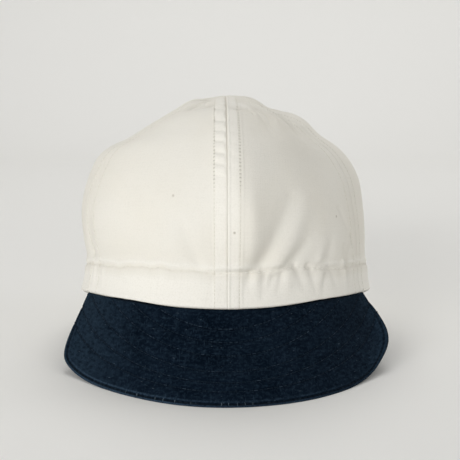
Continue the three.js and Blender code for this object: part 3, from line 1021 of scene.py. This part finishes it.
def buildPeak(name, upper, lower, showsTop, grid, material):
    turn = np.linspace(-0.5, 0.5, grid[0] + 1) * np.pi
    angle = np.repeat((peakLook["tip"] * np.sin(turn))[:, None], grid[1] + 1, 1)
    rowShare = 1 - (1 - np.linspace(0, 1, grid[1] + 1)) ** 1.3
    ruling = peakEdge(angle) - peakRoot(angle)
    length = np.linalg.norm(ruling, axis=-1)
    rootNormal = peakNormal(angle, 0 * angle)
    onTable = 1 - ease(0.3, 3.0, peakEdge(angle)[..., 2])
    end = peakCover(angle) - (0 if showsTop else peakLook["underTrim"]) * onTable / length
    sheets, looks, maps = [], [], []
    for depth, shows in ((upper, showsTop), (lower, not showsTop)):
        startShare = depth * rootNormal[..., 2] / ruling[..., 2]
        share = startShare + (end - startShare) * rowShare[None, :]
        smooth, normal = peakPoint(angle, share), peakNormal(angle, share)
        sheet = smooth - normal * depth
        wear, fade, rowAway, rowCount = 0 * share, 0 * share, 0 * share + farAway, 0 * share
        if shows:
            rowAway, rowIndex = distanceTo(rowTree, smooth)
            rowCount = rowCounts[rowIndex]
            relief, wear, fade = peakRelief(sheet, angle, rowAway, distanceTo(edgeTree, smooth)[0])
            sheet = sheet + normal * ((1 if showsTop else -1) * relief)[..., None]
        sheet[..., 2] = np.maximum(sheet[..., 2], 0)
        sheets.append(sheet.reshape(-1, 3))
        looks.append(np.stack([wear, fade, rowAway, rowCount], -1).reshape(-1, 4))
        maps.append(np.stack([angle * peakLook["clothRadius"], share * length], -1).reshape(-1, 2))
    faces = wallFaces(*angle.shape, True)
    peak = makeMesh(name + "_cloth", toFrame(np.vstack(sheets)), faces)
    wear, fade, rowAway, rowCount = np.vstack(looks).T
    addCloth(peak, np.vstack(maps), wear=wear, fade=fade, stitchAway=rowAway, stitchCount=rowCount)
    peak.data.materials.append(material)
    placePiece(peak, "peak_indigo", name)
    return peak


indigo = indigoCanvas(indigoLook)
underTop, underBottom = peakLook["wall"] + peakLook["gap"], 2 * peakLook["wall"] + peakLook["gap"]
peakTop = buildPeak("peak_top", 0.0, peakLook["wall"], True, peakLook["topGrid"], indigo)
peakUnder = buildPeak("peak_under", underTop, underBottom, False, peakLook["underGrid"], indigo)
print("work cap: peak cloths", len(peakTop.data.polygons), len(peakUnder.data.polygons), "faces")


# stitches: short arched threads set along lines by one node tree
stitchInputs = ("Pitch", "Length", "Radius", "Arch", "Skew", "Seed")
stitchLooks = {
    # pitch, length, radius and arch in mm, skew, seed
    "seam": (2.1, 1.6, 0.14, 0.08, 0.08, 3),
    "hem": (3.4, 1.5, 0.17, 0.1, 0.1, 5),
    "tick": (1.3, 1.1, 0.17, 0.12, 0.45, 11),
    "row": (2.6, 2.1, 0.2, 0.12, 0.06, 7),
    "edge": (2.8, 2.2, 0.24, 0.14, 0.1, 9),
}


def stitchTree():
    tree = bpy.data.node_groups.new("threadStitches", "GeometryNodeTree")
    kinds = {"Line": "Geometry", **dict.fromkeys(stitchInputs, "Float"), "Seed": "Int", "Thread": "Material"}
    for label, kind in kinds.items():
        tree.interface.new_socket(label, in_out="INPUT", socket_type="NodeSocket" + kind)
    tree.interface.new_socket("Stitches", in_out="OUTPUT", socket_type="NodeSocketGeometry")
    given = addNode(tree, "NodeGroupInput").outputs

    def first(kind, values=None, **settings):
        return addNode(tree, kind, values, **settings).outputs[0]

    half = calc(tree, "MULTIPLY", given["Length"], 0.5)
    sunk = calc(tree, "MULTIPLY", given["Arch"], -1.0)
    begin = first("ShaderNodeCombineXYZ", {"X": calc(tree, "MULTIPLY", half, -1.0), "Z": sunk})
    end = first("ShaderNodeCombineXYZ", {"X": half, "Z": sunk})
    crown = first("ShaderNodeCombineXYZ", {"Z": calc(tree, "MULTIPLY", given["Arch"], 2.4)})
    bend = {"Resolution": 5, "Start": begin, "Middle": crown, "End": end}
    arc = first("GeometryNodeCurveQuadraticBezier", bend)
    ring = first("GeometryNodeCurvePrimitiveCircle", {"Resolution": 6, "Radius": given["Radius"]})
    thread = first("GeometryNodeCurveToMesh", {"Curve": arc, "Profile Curve": ring, "Fill Caps": True})
    thread = first("GeometryNodeSetShadeSmooth", {"Geometry": thread})
    line = first("GeometryNodeMeshToCurve", {"Mesh": given["Line"]})
    spots = first("GeometryNodeResampleCurve", {"Curve": line, "Length": given["Pitch"]}, mode="LENGTH")
    along = first("GeometryNodeInputTangent")
    clothUp = first("GeometryNodeInputNamedAttribute", {"Name": "clothUp"}, data_type="FLOAT_VECTOR")
    turned = first("FunctionNodeAlignRotationToVector", {"Vector": along}, axis="X")
    upright = {"Rotation": turned, "Vector": clothUp}
    turned = first("FunctionNodeAlignRotationToVector", upright, axis="Z", pivot_axis="X")
    less = calc(tree, "MULTIPLY", given["Skew"], -1.0)
    skew = addNode(tree, "FunctionNodeRandomValue", {"Seed": given["Seed"]}, data_type="FLOAT")
    for label, value in (("Min", less), ("Max", given["Skew"])):
        tree.links.new(value, next(s for s in skew.inputs if s.name == label and s.enabled))
    skewed = next(s for s in skew.outputs if s.enabled)
    twist = first("FunctionNodeEulerToRotation", {"Euler": first("ShaderNodeCombineXYZ", {"Z": skewed})})
    both = {"Rotation": turned, "Rotate By": twist}
    turned = first("FunctionNodeRotateRotation", both, rotation_space="LOCAL")
    placed = {"Points": spots, "Instance": thread, "Rotation": turned}
    real = first("GeometryNodeRealizeInstances", {"Geometry": first("GeometryNodeInstanceOnPoints", placed)})
    real = first("GeometryNodeSetMaterial", {"Geometry": real, "Material": given["Thread"]})
    addNode(tree, "NodeGroupOutput", {"Stitches": real})
    return tree


stitching = stitchTree()


def sewStitches(name, threads, kind, thread, slot):
    points = np.vstack([line for line, _ in threads])
    edges, start = [], 0
    for line, _ in threads:
        edges += [(start + n, start + n + 1) for n in range(len(line) - 1)]
        start += len(line)
    mesh = bpy.data.meshes.new(name + "Lines")
    mesh.from_pydata(points.tolist(), edges, [])
    ups = mesh.attributes.new("clothUp", "FLOAT_VECTOR", "POINT")
    ups.data.foreach_set("vector", np.vstack([up for _, up in threads]).astype(np.float32).ravel())
    lines = addObject(name + "Lines", mesh)
    sewing = lines.modifiers.new("stitches", "NODES")
    sewing.node_group = stitching
    sockets = stitching.interface.items_tree
    given = {item.name: item.identifier for item in sockets if item.in_out == "INPUT"}
    *sizes, skew, seed = stitchLooks[kind]
    for label, value in zip(stitchInputs, [size * mm for size in sizes] + [skew, seed]):
        sewing[given[label]] = value
    sewing[given["Thread"]] = yarn[thread]
    made = lines.evaluated_get(bpy.context.evaluated_depsgraph_get())
    stitches = addObject(name, bpy.data.meshes.new_from_object(made))
    bpy.data.objects.remove(lines)
    placePiece(stitches, slot)
    return stitches


threadTones = {
    # tone, faded tone, and the noise values between which it fades
    "ivoryThread": ((0.80, 0.775, 0.70), (0.70, 0.67, 0.59), 0.35, 0.65),
    "whiteThread": ((0.90, 0.88, 0.83), (0.80, 0.775, 0.70), 0.5, 0.75),
    "indigoThread": ((0.006, 0.0125, 0.022), (0.034, 0.052, 0.076), 0.5, 0.72),
    "edgeThread": ((0.003, 0.006, 0.011), (0.016, 0.026, 0.036), 0.5, 0.75),
    "paleThread": ((0.09, 0.12, 0.15), (0.03, 0.045, 0.06), 0.42, 0.62),
}
yarn = {name: threadMaterial(name, *tones) for name, tones in threadTones.items()}


# the sewn lines on the peak's cloth, on its upper or its lower face
def peakThreads(lines, depth, side):
    threads = []
    for line, normal, _ in lines:
        points = line - normal * depth
        onRow = 0 * line[:, 0]
        relief = peakRelief(points, onRow, onRow, distanceTo(edgeTree, line)[0])[0]
        points = points + normal * (side * (relief + peakLook["threadLift"]))[:, None]
        points[:, 2] = np.maximum(points[:, 2], peakLook["threadLowest"])
        threads.append((toFrame(points), side * normal))
    return threads


# a few pale threads that show across the edge row, by where they lie along the edge
def edgeTicks():
    row, normal, _ = rowLines[-1]
    inward = unit(np.cross(normal, np.gradient(row, axis=0)))
    reach, threads = peakLook["tickReach"], []
    for x in peakLook["tickPlaces"]:
        spot = int(np.argmin(np.abs(row[:, 0] - x)))
        across = np.linspace(-reach, reach, 3)[:, None] * inward[spot]
        points = row[spot] + across + normal[spot] * peakLook["tickLift"]
        threads.append((toFrame(points), np.repeat(normal[spot][None], 3, 0)))
    return threads


rowThreads, edgeThreads = peakThreads(rowLines[:-1], 0.0, 1), peakThreads(rowLines[-1:], 0.0, 1)
underThreads = peakThreads(rowLines, underBottom, -1)
sewn = [
    sewStitches("seam_stitches", seamThreads, "seam", "ivoryThread", "crown_canvas"),
    sewStitches("hem_stitches", hemThreads, "hem", "ivoryThread", "crown_canvas"),
    sewStitches("hem_ticks", tickThreads, "hem", "whiteThread", "crown_canvas"),
    sewStitches("peak_stitches", rowThreads, "row", "indigoThread", "peak_indigo"),
    sewStitches("peak_edge_stitches", edgeThreads, "edge", "edgeThread", "peak_indigo"),
    sewStitches("peak_edge_ticks", edgeTicks(), "tick", "paleThread", "peak_indigo"),
    sewStitches("peak_under_stitches", underThreads, "row", "indigoThread", "peak_indigo"),
]
print("work cap: stitches", [len(s.data.polygons) for s in sewn], "faces")

print("work cap: done")
